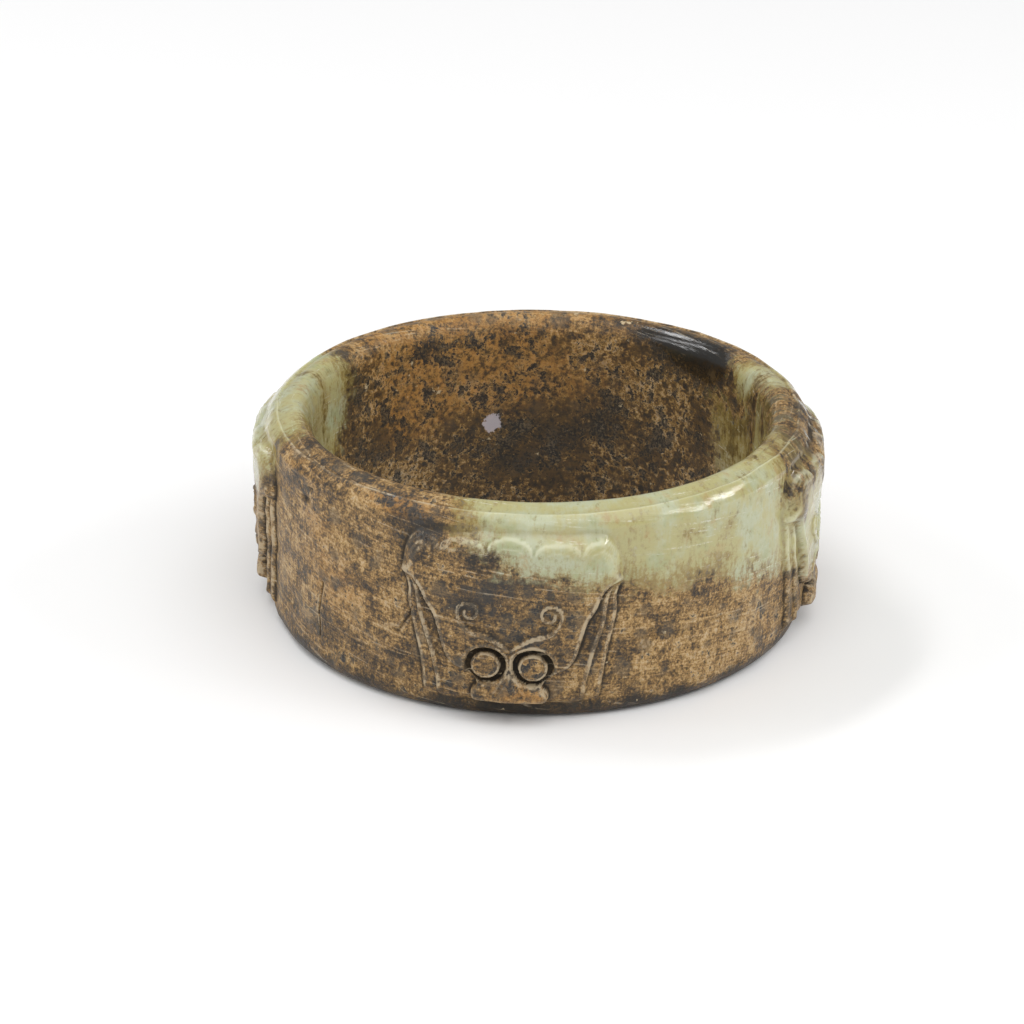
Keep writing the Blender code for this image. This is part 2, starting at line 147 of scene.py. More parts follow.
# Cuts left by wear: width and depth in millimetres, then the places that each passes through
CRACKS = ((0.30, 0.28, ((-25.6, 15.5), (-27.0, 13.4), (-27.9, 12.6), (-30.2, 9.9))),
          (0.34, 0.32, ((-50.7, 13.4), (-51.2, 11.4), (-52.2, 8.8), (-52.2, 5.2))),
          (0.50, 0.35, ((-53.2, 26.8), (-54.8, 25.6), (-56.6, 24.4))),
          (0.22, 0.15, ((-31.5, 7.5), (-31.3, 4.2))), (0.25, 0.18, ((-20.0, 10.6), (-20.8, 8.2))),
          (0.24, 0.10, ((17.2, 11.0), (25, 11.2), (34, 11.0), (41, 11.2), (48.5, 10.9))),
          (0.20, 0.08, ((23.6, 4.6), (32, 5.0), (39.8, 5.4))),
          (0.20, 0.07, ((30, 6.6), (38, 6.3), (47, 6.6))),
          (0.20, 0.07, ((-44, 12.6), (-39, 11.5), (-34, 11.1))), (0.22, 0.08, ((-38, 22.4), (-31, 21.5))),
          (0.20, 0.06, ((19, 24.4), (30, 24.7), (44, 24.2))))
PITS = ((-16.0, 26.1, 0.9, 0.25), (-13.2, 25.4, 0.5, 0.15), (24.6, 17.2, 0.7, 0.18), (-47, 26.6, 0.6, 0.15),
        (8.8, 20.9, 0.5, 0.12), (-22, 13.2, 0.6, 0.15), (19.6, 8.4, 0.6, 0.15))  # place, radius, depth
CRACK_MARGIN = 0.001
RAGGED_BELOW = 0.2           # cuts shallower than this many millimetres wander a little
RAGGED = (0.00012, 0.0017, 12, 3)  # how far they wander, then size, count and seed of the waves

# Lines of the carving, in metres: height or depth, then half width
FACE_RIM = (0.00016, 0.0003)
LOBE_RIDGE = (0.00010, 0.0003)
HORN_RIDGE = (0.00036, 0.00034)
LID_RIDGE = (0.00024, 0.00042)
MUZZLE_LINE = (0.00016, 0.0004)
NOSTRIL_LINE = (0.00018, 0.0003)
CORNER_LINE = (0.00016, 0.00022)
EYE_LINE = (0.00006, 0.0003)

# Forms of the carving, in metres
LEVEL_SLOPE = 0.00050        # width of the edge of a strip, a channel or the face
CROWN_SLOPE = 0.00210        # how much wider it is in the crown
CHANNEL_HOLLOW = 0.00036
LOBE_STEP = 0.00028
BROW_SWELL = 0.0002
BROW_DIP = 0.00016
MUZZLE_PAD = (0.0004, 0.0012)  # height and width of its slope
LID_GAP = 0.0005
HORN_CURL_RADII = (0.0016, 0.0006)
ARC_PITCH = 0.00065
ARC_HEIGHT = 0.00005
EYE_DOME = 0.00008

# Turned section, in metres
SHOULDER_BULGE = 0.00012
LIP_CREST = 0.53             # share of the lip's width, from the bore, at which it is highest
BORE_CORNER = 0.0006
LIP_REACH = 0.003            # rows less than this outside the bore's radius count as the bore's
STILL_CREST = 0.0024         # how far outside the bore's radius wear moves nothing

# Wear: depth in metres, then size, count and seed of its waves
WORN_BROAD = (0.00010, 0.011, 16, 1)
WORN_FINE = (0.00004, 0.0035, 24, 2)
WORN_NICKS = (0.00004, 0.0016, 32, 5)
LOST_SHOULDER = (0.0004, 68, 22)  # depth of a slight loss, then its middle and spread in degrees
LOST_FOOT = (0.0005, 42, 30)
CREST_GAIN = 8500            # from metres of relief over the surroundings to a share of wear
HOLLOW_GAIN = 1600

# Patterns in the stone: size of the largest features in metres, detail, roughness
DRIFT = (0.012, 2, 0.5)
PATCH = (0.0042, 4, 0.62)
FINE = (0.0015, 6, 0.72)
GRAIN = (0.0008, 4, 0.70)
SPECK = (0.00034, 3, 0.75)
FIBRE = (0.0006, 3, 0.6)
BAND = (0.0028, 5, 0.62)
SCRATCH = (0.00045, 3, 0.6)
FLAKE = (0.0017, 5, 0.7)
GREEN_CLOUD = (0.006, 4, 0.6)
TAN_CLOUD = (0.0033, 6, 0.68)

# Colours of the brown skin beside those that can be changed
SKIN_BLACK = (0.022, 0.017, 0.012, 1)
SKIN_DEEP = (0.080, 0.049, 0.020, 1)
SKIN_PALE = (0.58, 0.44, 0.27, 1)
SKIN_SPOT = (0.080, 0.066, 0.046, 1)
# Painted shade with some grime, for grooves, the drilled eye rings and the foot
SKIN_SHADE_AND_GRIME = (0.020, 0.016, 0.011, 1)
# Worn edges, partly painted highlight
SKIN_EDGE_WEAR_AND_HIGHLIGHT = (0.52, 0.41, 0.26, 1)
# Whitish scratches, partly painted glints
SKIN_SCRATCH_AND_GLINT = (0.56, 0.46, 0.32, 1)
SKIN_BRUISE = (0.55, 0.50, 0.54, 1)
BORE_BROWN = (0.27, 0.145, 0.030, 1)
BORE_BLACK = (0.017, 0.013, 0.008, 1)

# Colours of the pale stone beside those that can be changed
JADE_GREEN = (0.34, 0.37, 0.18, 1)
JADE_TAN = (0.42, 0.27, 0.10, 1)
JADE_SOAKED = (0.075, 0.050, 0.018, 1)
# Painted shade with some grime, for grooves and the drilled eye rings
JADE_GROOVE_SHADE_AND_GRIME = (0.32, 0.24, 0.10, 1)
# Worn edges, partly painted highlight
JADE_EDGE_WEAR_AND_HIGHLIGHT = (0.64, 0.64, 0.46, 1)
# Whitish scratches, partly painted glints
JADE_SCRATCH_AND_GLINT = (0.74, 0.74, 0.62, 1)
JADE_SHADE = (0.28, 0.26, 0.11, 1)
JADE_LIGHT = (0.58, 0.60, 0.45, 1)

# The photograph's view: the camera's place, and where the middle of the underside falls in the picture
PHOTO_SIZE = 1024
VIEW_HEIGHT = 25.81
VIEW_DISTANCE = 0.5479
VIEW_ROLL = 0.70
VIEW_FOCUS = 3850.0
RING_AT = (536.61, 598.70)

# Studio: what the lights aim at, then each light's name, place, size and watts
MIDDLE = (0, 0, 0.015)
LIGHTS = (("front soft box", (0.2, -1.3, 0.40), (1.5, 0.5), 1.8),
          ("upper soft box", (0.24, -0.38, 1.0), (1.3, 1.0), 6.7),
          ("left glint", (-0.42, 0.22, 0.78), (0.34, 0.10), 1.6),
          ("right glint", (0.753, 0.015, 0.578), (0.60, 0.04), 2.1),
          ("side glint", (-0.74, -0.02, 0.66), (0.50, 0.05), 1.3),
          ("low glint", (-0.80, -0.31, 0.42), (0.42, 0.04), 0.9))
SKY_STRENGTH = 0.345
FLOOR_WHITE = (0.95, 0.95, 0.95, 1)
FLOOR_SIDE = 3.0


def metres(name, description, default):
    """A size in metres that a user can change."""
    return FloatProperty(name=name, description=description, default=default, unit="LENGTH", precision=5)


def tint(name, description, default):
    """A colour that a user can change."""
    return FloatVectorProperty(name=name, description=description, default=default, subtype="COLOR", size=4)


class RingSizes(bpy.types.PropertyGroup):
    """Sizes of the ring and its masks."""
    bore_radius: metres("Bore radius", "Radius of the bore at its mouths", 0.0315)
    wall_radius: metres("Wall radius", "Radius of the outer wall at the shoulder", 0.0380)
    height: metres("Height", "Underside to the top of the lip", RING_HEIGHT)
    wall_taper: metres("Wall taper", "How much narrower the wall is at its foot", 0.0006)
    bore_waist: metres("Bore waist", "How much narrower the bore is half way", 0.00015)
    shoulder_width: metres("Shoulder width", "Sloping shoulder, measured inwards", 0.0014)
    shoulder_drop: metres("Shoulder drop", "Shoulder's edge below the top of the lip", 0.0022)
    bead_drop: metres("Bead drop", "Raised line below the top of the lip", 0.0005)
    bead_size: metres("Bead size", "Width and height of the raised line", 0.0003)
    lip_depth: metres("Lip depth", "How far the rounded lip reaches into the bore", 0.0033)
    foot_round: metres("Foot rounding", "Rounding of the outer edge of the underside", 0.0024)
    mask_count: IntProperty(name="Masks", description="Masks round the ring", default=4, min=1)
    mask_width: metres("Mask width", "Width of a mask round the wall", 0.0304)
    mask_top_gap: metres("Gap over masks", "Mask to the shoulder's edge", 0.0006)
    mask_foot_lap: metres("Lap under masks", "Reach of the masks over the rounded foot", 0.0009)
    strip_relief: metres("Strip relief", "Outer strips above the wall", 0.00065)
    channel_relief: metres("Channel relief", "Inner strips above the outer ones", 0.00055)
    face_relief: metres("Face relief", "Face above the inner strips", 0.00085)
    eye_radius: metres("Eye radius", "Radius of the drilled eyes", 0.0019)
    eye_groove: metres("Eye groove", "Width of the ring drilled round each eye", 0.00075)
    eye_depth: metres("Eye groove depth", "Depth of the ring round each eye", 0.0010)


class RingColours(bpy.types.PropertyGroup):
    """Colours of the stone."""
    pale: tint("Pale jade", "Unaltered, pale green stone", (0.455, 0.42, 0.200, 1))
    cloud: tint("Cloudy jade", "Whitish clouds in the pale stone", (0.47, 0.49, 0.325, 1))
    stain: tint("Stain", "Olive stain where pale stone meets brown", (0.26, 0.17, 0.04, 1))
    tan: tint("Tan", "Lighter brown skin", (0.47, 0.30, 0.115, 1))
    brown: tint("Brown", "Middle brown skin", (0.25, 0.140, 0.042, 1))
    dark: tint("Dark spots", "Nearly black spots in the skin", (0.024, 0.023, 0.021, 1))
    ochre: tint("Ochre", "Warm zones of the skin", (0.46, 0.22, 0.05, 1))
    crust: tint("Crust", "Cream flakes on the skin", (0.56, 0.44, 0.26, 1))


def on_wall(sizes, shares):
    """Mask shares turned into places on the flat wall: width from the mask's middle, height."""
    foot, height = mask_span(sizes)
    return np.asarray(shares) * (sizes.mask_width / 2, height) + (0, foot)


def mask_span(sizes):
    """Height of a mask's lower end, and the mask's own height."""
    foot = sizes.foot_round - sizes.mask_foot_lap
    return foot, sizes.height - sizes.shoulder_drop - sizes.mask_top_gap - foot


def curve_through(points, steps=6):
    """A smooth curve through the points: cubics whose slope at a point follows its two neighbours."""
    points = np.asarray(points, float)
    before = np.vstack([2 * points[0] - points[1], points[:-2]])
    after = np.vstack([points[2:], 2 * points[-1] - points[-2]])
    start, end = points[:-1, None], points[1:, None]
    before, after = before[:, None], after[:, None]
    t = (np.arange(steps) / steps)[None, :, None]
    cubic = 0.5 * (2 * start + (end - before) * t + (2 * before - 5 * start + 4 * end - after) * t ** 2
                   + (3 * start - before - 3 * end + after) * t ** 3)
    return np.vstack([cubic.reshape(-1, 2), points[-1:]])


def arc(centre, foot, crest, half_width, first, last, steps):
    """Part of an ellipse standing on its foot height, from one angle to another, in shares."""
    angles = np.radians(np.linspace(first, last, steps))
    return np.stack([centre + half_width * np.cos(angles), foot + (crest - foot) * np.sin(angles)], axis=1)


def crown_edge():
    """Scalloped upper edge of the crown's right half, from its outer foot to the middle, in shares."""
    centre, inner_half, outer_half, cusp, crest, outer_foot = OUTER_LOBE
    edge = [arc(centre, outer_foot, crest, outer_half, 0, 90, 14),
            arc(centre, cusp, crest, inner_half, 95, 180, 9)]
    for centre, half, cusp, crest in reversed(CROWN_LOBES):
        edge.append(arc(centre, cusp, crest, half, 0, 180 if centre else 90, 18 if centre else 9))
    return np.vstack(edge)


def crown_arch():
    """Smooth arch over the lobes of the crown's right half, a little above them, in shares."""
    centre, _, outer_half, _, crest, outer_foot = OUTER_LOBE
    return np.vstack([arc(centre, outer_foot, crest + 0.025, outer_half, 0, 90, 14),
                      [(0.4, 1.02), (0.0, 1.02)]])


def whole(right_half):
    """A closed outline from its right half, which runs from the lower middle to the upper middle."""
    return np.vstack([right_half, right_half[-2:0:-1] * (-1, 1)])


def distance_to_line(points, line):
    """Distance from each point to the nearest stretch of a line of points."""
    best = np.full(len(points), np.inf)
    for start, end in zip(line[:-1], line[1:]):
        along = end - start
        share = np.clip((points - start) @ along / max(along @ along, 1e-18), 0, 1)
        offset = points - start - share[:, None] * along
        best = np.minimum(best, np.einsum("ij,ij->i", offset, offset))
    return np.sqrt(best)


def depth_inside(points, outline):
    """Distance from each point to a closed outline, positive inside it and negative outside."""
    closed = np.vstack([outline, outline[:1]])
    inside = np.zeros(len(points), bool)
    x, y = points.T
    for (x0, y0), (x1, y1) in zip(closed[:-1], closed[1:]):
        if y0 != y1:
            inside ^= ((y0 > y) != (y1 > y)) & (x < x0 + (y - y0) * (x1 - x0) / (y1 - y0))
    return np.where(inside, 1, -1) * distance_to_line(points, closed)


def ease(value):
    """0 below 0, 1 above 1, and a smooth step between."""
    value = np.clip(value, 0, 1)
    return value * value * (3 - 2 * value)


def hump(distance, width):
    """1 at no distance, falling smoothly to 0 at the width."""
    return ease(1 - distance / width)


def raised(inside, rise, slope):
    """A carved level: from its outline it rises as a quarter of a sine wave over the slope's width."""
    return rise * np.sin(math.pi / 2 * np.clip(inside / slope, 0, 1))


def ridge(distance, size):
    """A ridge along a line: its height on the line, falling smoothly to 0 at its half width."""
    height, half_width = size
    return height * hump(distance, half_width)


def horn_lines(sizes):
    """A horn's stem, and the whole horn: the stem, then a circle whose radius shrinks as it turns."""
    stem = curve_through(on_wall(sizes, HORN_STEM))
    turn = np.radians(np.linspace(-25, 360, 40))
    radius = np.linspace(*HORN_CURL_RADII, 40)[:, None]
    curl = on_wall(sizes, HORN_CURL) + radius * np.stack([np.cos(turn), np.sin(turn)], axis=1)
    return stem, np.vstack([stem, curl])


def lid_line(eye, rim):
    """An arc over the rim of an eye, carried on downwards at its inner end."""
    turn = np.radians(np.linspace(15, 155, 24))
    lid = eye + (rim + LID_GAP) * np.stack([np.cos(turn), np.sin(turn)], axis=1)
    return np.vstack([lid, lid[-1] * (0.6, 1) - (0, 0.55 * rim)])


def carve_levels(sizes, points, in_crown):
    """Height of the strips, channels and face, and the depth inside the face and inside the lobes.

    Each level rises on the last one, over a slope that widens in the crown. Below the crown the channels
    are hollowed beside the face, and the face has a low rim. In it the relief drops a step outside the
    lobes, and a low ridge follows their edge.
    """
    slope = LEVEL_SLOPE + CROWN_SLOPE * in_crown
    arch, lobes = crown_arch(), crown_edge()
    strip, channel, face, lobe = (
        depth_inside(points, on_wall(sizes, whole(np.vstack([curve_through(side), crown]))))
        for side, crown in ((STRIP_SIDE, arch), (CHANNEL_SIDE, arch), (FACE_SIDE, arch), (FACE_SIDE, lobes)))
    height = (raised(strip, sizes.strip_relief, slope) + raised(channel, sizes.channel_relief, slope)
              + raised(face, sizes.face_relief, slope))
    beside = (1 - in_crown) * (1 - ease(face / slope))
    height -= CHANNEL_HOLLOW * ease((channel - 0.0003) / 0.0009) * beside
    height += ridge(np.abs(face - 0.0002), FACE_RIM) * (1 - in_crown)
    height -= LOBE_STEP * (1 - ease((lobe + 0.0001) / 0.00035)) * ease(height / 0.0006) * in_crown
    height += ridge(np.abs(lobe - 0.00035), LOBE_RIDGE) * in_crown
    return height, face, lobe


def carve_mask(sizes, points):
    """Height of one mask's relief over the flat wall, and how far each place is drilled, 0 to 1.

    Both halves are alike. On the levels stand horns, brows that swell below the horns and dip above them,
    lids and the muzzle's pad. Nostrils and eye corners are cut lines, eyes are drilled rings, and fine
    arcs, a sine wave of the depth inside the lobes, follow the crown's edge. The relief fades out at the
    wall's foot and at the shoulder.
    """
    points = np.abs(points)
    foot, tall = mask_span(sizes)
    share = (points[:, 1] - foot) / tall
    height, face, lobe = carve_levels(sizes, points, ease((share - 0.70) / 0.12))

    stem, horn = horn_lines(sizes)
    height += ridge(distance_to_line(points, horn), HORN_RIDGE)
    below = np.interp(points[:, 0], stem[:, 0], stem[:, 1]) - points[:, 1]
    reach = ease((0.0068 - points[:, 0]) / 0.0012)
    height += BROW_SWELL * ease(below / 0.0003) * (1 - ease(below / 0.0026)) * reach
    above = ease(-below / 0.0006) * (1 - ease((share - 0.62) / 0.14)) * ease(face / 0.0022)
    height -= BROW_DIP * above

    eye = on_wall(sizes, EYE_CENTRE)
    rim = sizes.eye_radius + sizes.eye_groove
    height += ridge(distance_to_line(points, lid_line(eye, rim)), LID_RIDGE)

    muzzle = depth_inside(points, on_wall(sizes, whole(curve_through(MUZZLE_SIDE))))
    height += raised(muzzle, *MUZZLE_PAD) - ridge(np.abs(muzzle + 0.0001), MUZZLE_LINE)
    height -= ridge(distance_to_line(points, on_wall(sizes, NOSTRIL)), NOSTRIL_LINE)
    height -= ridge(distance_to_line(points, on_wall(sizes, EYE_CORNER)), CORNER_LINE)

    arcs = np.sin(lobe / ARC_PITCH * math.tau) * ease((share - 0.84) / 0.05) * ease((lobe - 0.0006) / 0.0003)
    height += ARC_HEIGHT * arcs * ease((0.0028 - lobe) / 0.0010)

    out = np.linalg.norm(points - eye, axis=1)
    drilled = ease(np.minimum(out - sizes.eye_radius + 0.00006, rim + 0.00012 - out) / 0.00020)
    height += EYE_DOME * np.clip(1 - (out / sizes.eye_radius) ** 2, 0, 1)
    height -= ridge(np.abs(out - sizes.eye_radius + 0.0004), EYE_LINE)
    height -= sizes.eye_depth * drilled

    low, high = sizes.foot_round, sizes.height - sizes.shoulder_drop
    height *= ease((points[:, 1] - low) / 0.0014) * ease((high - points[:, 1]) / 0.0003)
    return height, ease(np.minimum(out - sizes.eye_radius + 0.00004, rim + 0.00002 - out) / 0.00022)


def spread(start, end, count):
    """Evenly spaced values from start up to but not including end."""
    return start + (end - start) * np.arange(count) / count


def mask_columns(sizes):
    """Places of the mesh columns over one mask's stretch of wall, closest at the eyes and at a crack."""
    sector = math.tau * sizes.wall_radius / sizes.mask_count
    face, mask, crack = 0.0064, sizes.mask_width / 2 + 0.0008, sector / 2 - 0.0018
    return np.concatenate([spread(-sector / 2, -mask, 8), spread(-mask, -face, 36), spread(-face, face, 74),
                           spread(face, mask, 36), spread(mask, crack, 6), spread(crack, sector / 2, 10)])


def wall_rows(sizes):
    """Heights of the mesh rows on the wall, closest where the eyes are."""
    low, high = sizes.foot_round, sizes.height - sizes.shoulder_drop
    eye = on_wall(sizes, EYE_CENTRE)[1]
    return np.concatenate([spread(low, eye - 0.0032, 15), spread(eye - 0.0032, eye + 0.0032, 40),
                           spread(eye + 0.0032, high, 53), [high]])


def turned_rows(sizes):
    """Radius and height of the rows from the shoulder over the lip, down the bore and back to the foot.

    The shoulder is a straight slope with a slight bulge, up to the bead. The lip rises as a parabola to
    its crest and falls as a quarter of an ellipse into the bore, which narrows by a sine wave to its
    waist. The foot is a quarter of a circle.
    """
    bead = sizes.wall_radius - sizes.shoulder_width
    bead_top = sizes.height - sizes.bead_drop
    lip_outer = bead - 1.6 * sizes.bead_size
    crest = sizes.bore_radius + LIP_CREST * (lip_outer - sizes.bore_radius)
    wall_top = sizes.height - sizes.shoulder_drop
    share = np.array([0.04, 0.12, 0.5, 0.88])
    bulge = SHOULDER_BULGE * np.sin(share * math.pi)
    rows = [np.stack([sizes.wall_radius + share * (bead - sizes.wall_radius) + bulge,
                      wall_top + share * (bead_top - wall_top) + bulge], axis=1),
            [(bead, bead_top), (bead - 0.3 * sizes.bead_size, bead_top + 0.00003),
             (bead - sizes.bead_size, bead_top - 0.3 * sizes.bead_size)]]
    out = 1 - spread(0, 1, 6)
    rows.append(np.stack([crest + out * (lip_outer - crest),
                          sizes.height - (sizes.bead_drop + 0.4 * sizes.bead_size) * out ** 2], axis=1))
    turn = spread(0, math.pi / 2, 9)
    rows.append(np.stack([crest - (crest - sizes.bore_radius) * np.sin(turn),
                          sizes.height - sizes.lip_depth * (1 - np.cos(turn))], axis=1))
    down = spread(sizes.height - sizes.lip_depth, BORE_CORNER, 8)
    waist = sizes.bore_waist * np.sin(math.pi * down / sizes.height)
    rows.append(np.stack([sizes.bore_radius - waist, down], axis=1))
    foot = sizes.wall_radius - sizes.wall_taper
    rows.append([(sizes.bore_radius, BORE_CORNER), (sizes.bore_radius + 0.0002, 0.0002),
                 (sizes.bore_radius + BORE_CORNER, 0)])
    turn = spread(0, math.pi / 2, 5)
    rows.append(np.stack([foot - sizes.foot_round * (1 - np.sin(turn)),
                          sizes.foot_round * (1 - np.cos(turn))], axis=1))
    return np.vstack(rows)


def patch_depth(outline, degrees, girth, radius):
    """Depth in metres inside a patch."""
    outline = np.asarray(outline, float) * (math.radians(1) * radius, 0.001)
    return depth_inside(np.stack([np.radians(degrees) * radius, girth], axis=1), outline)


def zones(spots, degrees, girth):
    """Sum of soft spots, each given by its place, its spread both ways and its amount."""
    total = np.zeros(len(degrees))
    for middle, high, wide, tall, amount in spots:
        turn = (degrees - middle + 180) % 360 - 180
        total += amount * np.exp(-(turn / wide) ** 2 - ((girth * 1000 - high) / tall) ** 2)
    return total


def waves(place, size, count, seed):
    """Smooth irregularity, about -1.5 to 1.5: a sum of sine waves in random directions.

    The waves are about as long as the size.
    """
    random = np.random.default_rng(seed)
    way = random.normal(size=(count, 3))
    way *= (math.tau / size * random.uniform(0.6, 1.5, (count, 1))
            / np.linalg.norm(way, axis=1, keepdims=True))
    return np.sin(place @ way.T + random.uniform(0, math.tau, count)).sum(axis=1) / math.sqrt(count / 2)


def wear_cuts(degrees, girth, radius):
    """Depth of the cracks, scratches and pits, in metres: the deepest of them at each place."""
    wander, *wander_waves = RAGGED
    place = np.stack([np.radians(degrees) * radius, girth], axis=1)
    depth = np.zeros(len(place))
    for width, deep, route in CRACKS:
        route = np.asarray(route, float) * (math.radians(1) * radius, 0.001)
        inside = (place > route.min(0) - CRACK_MARGIN) & (place < route.max(0) + CRACK_MARGIN)
        near = np.flatnonzero(np.all(inside, axis=1))
        ragged = wander * waves(np.column_stack([place[near], place[near, 0]]), *wander_waves)
        away = np.abs(distance_to_line(place[near], route) + ragged * (deep < RAGGED_BELOW))
        depth[near] = np.maximum(depth[near], 0.001 * deep * hump(away, 0.001 * width))
    for middle, high, wide, deep in PITS:
        away = np.hypot(place[:, 0] - math.radians(middle) * radius, place[:, 1] - 0.001 * high)
        depth = np.maximum(depth, 0.001 * deep * hump(away, 0.001 * wide))
    return depth


def blurred(grid, reach):
    """The grid averaged over its neighbours both ways; it goes round."""
    for axis in (0, 1):
        grid = sum(np.roll(grid, shift, axis) for shift in range(-reach, reach + 1)) / (2 * reach + 1)
    return grid


def ring_surface(sizes):
    """Points of the closed ring on a grid of rows and columns, and what its finish needs to know.

    A row is a turn round the axis, and a column goes once round the section: up the wall, over the lip,
    down the bore and back under. Radius is that of the turned profile, plus the relief on the wall, less
    the cuts and the two slight losses there. Wear is a sum of smooth waves: it moves the wall inwards and
    the bore outwards, and leaves the crest of the lip where it is.
    """
    widths = np.concatenate([mask_columns(sizes) + turn * math.tau * sizes.wall_radius / sizes.mask_count
                             for turn in range(sizes.mask_count)])
    angles = widths / sizes.wall_radius
    heights = wall_rows(sizes)
    low, high = heights[0], heights[-1]
    wall_radius = sizes.wall_radius - sizes.wall_taper * (high - heights) / (high - low)
    profile = np.vstack([np.stack([wall_radius, heights], axis=1), turned_rows(sizes)])
    rows, count = len(profile), len(angles)
    flat = np.stack(np.meshgrid(mask_columns(sizes), heights), axis=-1).reshape(-1, 2)
    relief, drilled = (np.vstack([np.tile(layer.reshape(len(heights), -1), (1, sizes.mask_count)),
                                  np.zeros((rows - len(heights), count))])
                       for layer in carve_mask(sizes, flat))

    step = np.linalg.norm(np.diff(profile, axis=0), axis=1)
    girth = np.repeat((low + np.concatenate([[0], np.cumsum(step)]))[:, None], count, axis=1)
    degrees = np.degrees(np.repeat(angles[None], rows, axis=0)) - VIEW_TURN
    degrees = (degrees + 180) % 360 - 180
    relief = relief * (1 - zones(RUBBED, degrees.reshape(-1), girth.reshape(-1)).reshape(rows, count))
    radius, height = (np.repeat(profile[:, axis:axis + 1], count, axis=1) for axis in (0, 1))
    place = np.stack([radius * np.sin(angles), -radius * np.cos(angles), height], axis=-1).reshape(-1, 3)

    outward = np.repeat(profile[:, :1] > sizes.bore_radius + LIP_REACH, count, axis=1)
    still = sizes.bore_radius + STILL_CREST
    standing = ease((height - 0.0004) / 0.002) * np.clip((still - radius) / 0.0022, -1, 1)
    broad, small, nicks = ((depth, waves(place, *shape))
                           for depth, *shape in (WORN_BROAD, WORN_FINE, WORN_NICKS))
    worn = (broad[0] * (1.5 + broad[1]) + small[0] * (1.5 + small[1])
            + nicks[0] * np.clip(nicks[1] - 1.3, 0, 1)).reshape(rows, count)
    cuts = wear_cuts(degrees.reshape(-1), girth.reshape(-1), sizes.wall_radius).reshape(rows, count)
    at_shoulder, at_foot = (depth * np.exp(-((degrees - middle) / wide) ** 2)
                            for depth, middle, wide in (LOST_SHOULDER, LOST_FOOT))
    lost = at_shoulder * ease((height - 0.024) / 0.005) + at_foot * ease((0.005 - height) / 0.005)
    radius = radius + relief + standing * worn - (cuts + lost) * outward
    points = np.stack([radius * np.sin(angles), -radius * np.cos(angles), height], axis=-1)

    form = relief - cuts - 0.3 * worn
    raised_by = (form - blurred(form, 2)) * CREST_GAIN
    hollow = (blurred(form, 9) - form) * HOLLOW_GAIN
    past_wall = np.arange(rows)[:, None] - len(heights)
    # A lighter line along the bead on the lip: painted highlight.
    bead_highlight = np.repeat(np.exp(-((past_wall - 4.6) / 1.1) ** 2), count, axis=1)
    by_eye = ease(2 * blurred(drilled, 1))
    crest = np.clip(raised_by, 0, 1.5) * outward * ease((height - 0.003) / 0.002) * (1 - 0.75 * by_eye)
    # groove: painted shade with some grime in creases, hollows and the drilled eye rings; crest: lighter
    # raised edges, worn and partly painted highlight; foot: painted shade, darker towards the bottom of the
    # outer wall.
    finish = {"crest": crest + bead_highlight,
              "groove": np.clip(-raised_by, 0, 1.5) + np.clip(hollow, 0, 1.5) + 3 * drilled,
              "inner": ease((girth - 0.0355) / 0.003) * ~outward,
              "foot": ease((0.0034 - height) / 0.0022) * outward}
    return points, np.repeat(widths[None], rows, axis=0), girth, degrees, finish


def grid_mesh(name, points, widths, girth, length):
    """A mesh closed both ways from a grid of points, with a UV map in metres.

    The map's first axis runs round the wall, and its second goes over the section.
    """
    rows, columns = points.shape[:2]
    row, column = np.meshgrid(np.arange(rows), np.arange(columns), indexing="ij")
    next_row, next_column = (row + 1) % rows, (column + 1) % columns
    corners = [row * columns + column, row * columns + next_column,
               next_row * columns + next_column, next_row * columns + column]
    loops = np.stack(corners, axis=-1).reshape(-1).astype(np.int32)
    faces = rows * columns
    mesh = bpy.data.meshes.new(name)
    mesh.vertices.add(faces)
    mesh.vertices.foreach_set("co", points.reshape(-1).astype(np.float32))
    mesh.loops.add(4 * faces)
    mesh.loops.foreach_set("vertex_index", loops)
    mesh.polygons.add(faces)
    mesh.polygons.foreach_set("loop_start", np.arange(faces, dtype=np.int32) * 4)
    mesh.update(calc_edges=True)
    turned = length * (next_column == 0)
    along = np.stack([widths[row, column], widths[row, next_column] + turned,
                      widths[next_row, next_column] + turned, widths[next_row, column]], axis=-1)
    up = np.stack([girth[row, column], girth[row, next_column],
                   girth[next_row, next_column], girth[next_row, column]], axis=-1)
    last = (next_row == 0)[..., None] * np.array([0, 0, 1, 1])
    up = up + last * (girth.max() - girth.min() + 0.0002)
    layer = mesh.uv_layers.new(name="surface")
    layer.data.foreach_set("uv", np.stack([along, up], axis=-1).reshape(-1).astype(np.float32))
    mesh.shade_smooth()
    return mesh


class Signal:
    """A node's output. An expression on it adds Math nodes."""

    def __init__(self, nodes, socket):
        self.nodes = nodes
        self.socket = socket

    def math(self, operation, *values):
        return self.nodes.add("ShaderNodeMath", {"operation": operation}, dict(enumerate(values)))

    def __add__(self, other):
        return self.math("ADD", self, other)

    def __sub__(self, other):
        return self.math("SUBTRACT", self, other)

    def __rsub__(self, other):
        return self.math("SUBTRACT", other, self)

    def __mul__(self, other):
        return self.math("MULTIPLY", self, other)

    __radd__ = __add__
    __rmul__ = __mul__

    def over(self, low, high):
        """0 below low, 1 above high and a smooth step between, or the other way where low is the greater."""
        return self.nodes.add("ShaderNodeMapRange", {"interpolation_type": "SMOOTHSTEP"},
                              {"Value": self, "From Min": low, "From Max": high})

    def most(self, other):
        return self.math("MAXIMUM", self, other)

    def least(self, other):
        return self.math("MINIMUM", self, other)


